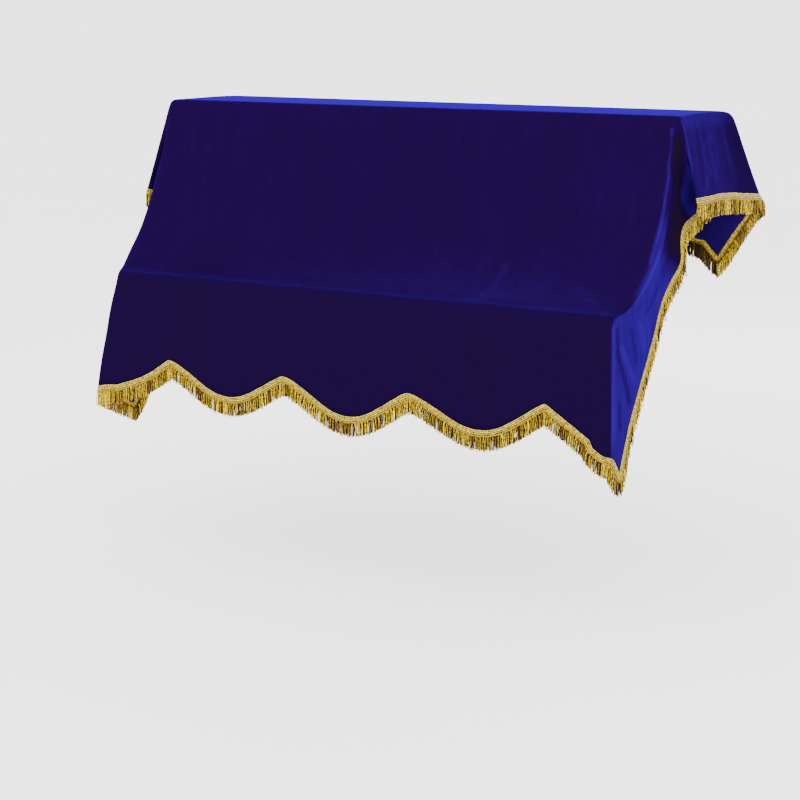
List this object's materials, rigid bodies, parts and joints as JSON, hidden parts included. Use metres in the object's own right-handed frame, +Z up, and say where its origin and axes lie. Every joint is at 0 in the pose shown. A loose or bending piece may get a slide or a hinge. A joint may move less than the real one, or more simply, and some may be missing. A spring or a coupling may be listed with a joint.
{
  "type": "piano cover",
  "caption": "Velvet cover that drapes over an upright piano from its back to below the keyboard, with a scalloped hem and a gold looped fringe all round.",
  "frame": {"origin": "on the piano's top, in the middle, where the underside of the cover rests", "axes": "+X to the right of someone at the keyboard, -Y towards the keyboard side, +Z up"},
  "size_m": [1.6399, 0.7718, 0.8749],
  "materials": {
    "velvet": "royal blue short-pile velvet with a bright sheen",
    "gold_yarn": "woven gold heading with twisted gold loops"
  },
  "bodies": {
    "root": {"cover_cloth": "velvet", "fringe_front": "gold_yarn", "fringe_back": "gold_yarn", "fringe_left": "gold_yarn", "fringe_right": "gold_yarn"}
  },
  "joints": []
}
